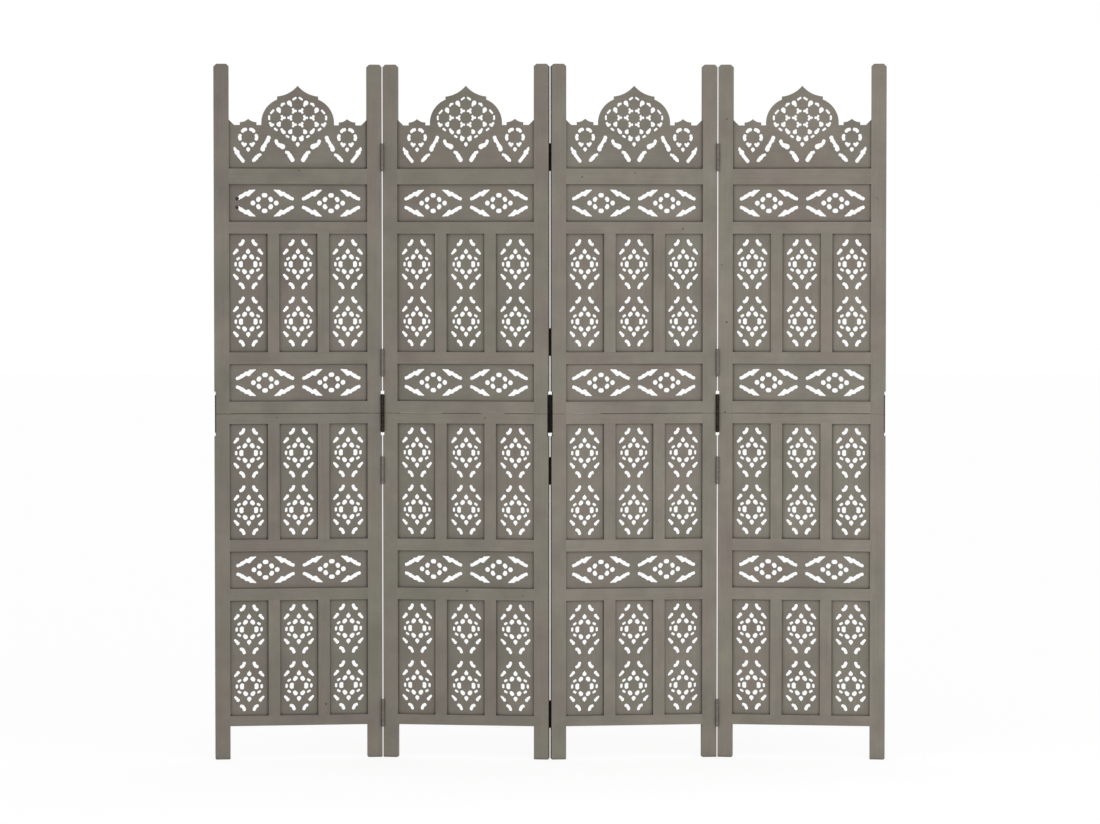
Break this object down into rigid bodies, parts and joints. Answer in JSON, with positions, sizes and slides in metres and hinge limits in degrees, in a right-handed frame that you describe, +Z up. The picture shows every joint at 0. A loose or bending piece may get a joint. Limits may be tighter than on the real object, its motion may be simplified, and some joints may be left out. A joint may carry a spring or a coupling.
{
  "type": "folding screen",
  "caption": "Free-standing folding screen of hinged wooden leaves with pierced lattice panels in grooved frames and domed crests.",
  "frame": {"origin": "on the floor, at the centre of the box of the screen as it stands in its zigzag", "axes": "+X along the line of the screen to the right, +Y from the front to the back, +Z up"},
  "size_m": [1.5936, 0.0752, 1.65],
  "materials": {
    "painted_frame": "matte grey stain paint, hand rubbed",
    "painted_panels": "matte grey stain paint, hand rubbed",
    "dark_hinges": "darkened steel",
    "black_hinges": "black lacquer, satin",
    "screws": "blackened steel"
  },
  "bodies": {
    "leaf_1": {"leaf_1_lower_left_stile": "painted_frame", "leaf_1_lower_right_stile": "painted_frame", "leaf_1_upper_left_stile": "painted_frame", "leaf_1_upper_right_stile": "painted_frame", "leaf_1_rails": "painted_frame", "leaf_1_muntins": "painted_frame", "leaf_1_bottom_column_panels": "painted_panels", "leaf_1_middle_column_panels": "painted_panels", "leaf_1_top_column_panels": "painted_panels", "leaf_1_band_panels": "painted_panels", "leaf_1_crest_panel": "painted_panels", "left_joining_plate": "black_hinges", "seam_1_pin_side_plates": "dark_hinges", "seam_1_pins": "dark_hinges", "leaf_1_screws": "screws"},
    "leaf_2": {"leaf_2_lower_left_stile": "painted_frame", "leaf_2_lower_right_stile": "painted_frame", "leaf_2_upper_left_stile": "painted_frame", "leaf_2_upper_right_stile": "painted_frame", "leaf_2_rails": "painted_frame", "leaf_2_muntins": "painted_frame", "leaf_2_bottom_column_panels": "painted_panels", "leaf_2_middle_column_panels": "painted_panels", "leaf_2_top_column_panels": "painted_panels", "leaf_2_band_panels": "painted_panels", "leaf_2_crest_panel": "painted_panels", "seam_1_free_side_plates": "dark_hinges", "seam_2_pin_side_plates": "black_hinges", "seam_2_pins": "black_hinges", "leaf_2_screws": "screws"},
    "leaf_3": {"leaf_3_lower_left_stile": "painted_frame", "leaf_3_lower_right_stile": "painted_frame", "leaf_3_upper_left_stile": "painted_frame", "leaf_3_upper_right_stile": "painted_frame", "leaf_3_rails": "painted_frame", "leaf_3_muntins": "painted_frame", "leaf_3_bottom_column_panels": "painted_panels", "leaf_3_middle_column_panels": "painted_panels", "leaf_3_top_column_panels": "painted_panels", "leaf_3_band_panels": "painted_panels", "leaf_3_crest_panel": "painted_panels", "seam_2_free_side_plates": "black_hinges", "seam_3_pin_side_plates": "dark_hinges", "seam_3_pins": "dark_hinges", "leaf_3_screws": "screws"},
    "leaf_4": {"leaf_4_lower_left_stile": "painted_frame", "leaf_4_lower_right_stile": "painted_frame", "leaf_4_upper_left_stile": "painted_frame", "leaf_4_upper_right_stile": "painted_frame", "leaf_4_rails": "painted_frame", "leaf_4_muntins": "painted_frame", "leaf_4_bottom_column_panels": "painted_panels", "leaf_4_middle_column_panels": "painted_panels", "leaf_4_top_column_panels": "painted_panels", "leaf_4_band_panels": "painted_panels", "leaf_4_crest_panel": "painted_panels", "right_joining_plate": "black_hinges", "seam_3_free_side_plates": "dark_hinges", "leaf_4_screws": "screws"}
  },
  "joints": [
    {"name": "fold_1_2", "type": "hinge", "parent": "leaf_1", "child": "leaf_2", "pos_m": [-0.39887, 0.0144, 0], "axis": [0, 0, -1], "range_deg": [-16, 164]},
    {"name": "fold_2_3", "type": "hinge", "parent": "leaf_2", "child": "leaf_3", "pos_m": [0, -0.0144, 0], "axis": [0, 0, 1], "range_deg": [-16, 164]},
    {"name": "fold_3_4", "type": "hinge", "parent": "leaf_3", "child": "leaf_4", "pos_m": [0.39887, 0.0144, 0], "axis": [0, 0, -1], "range_deg": [-16, 164]}
  ]
}
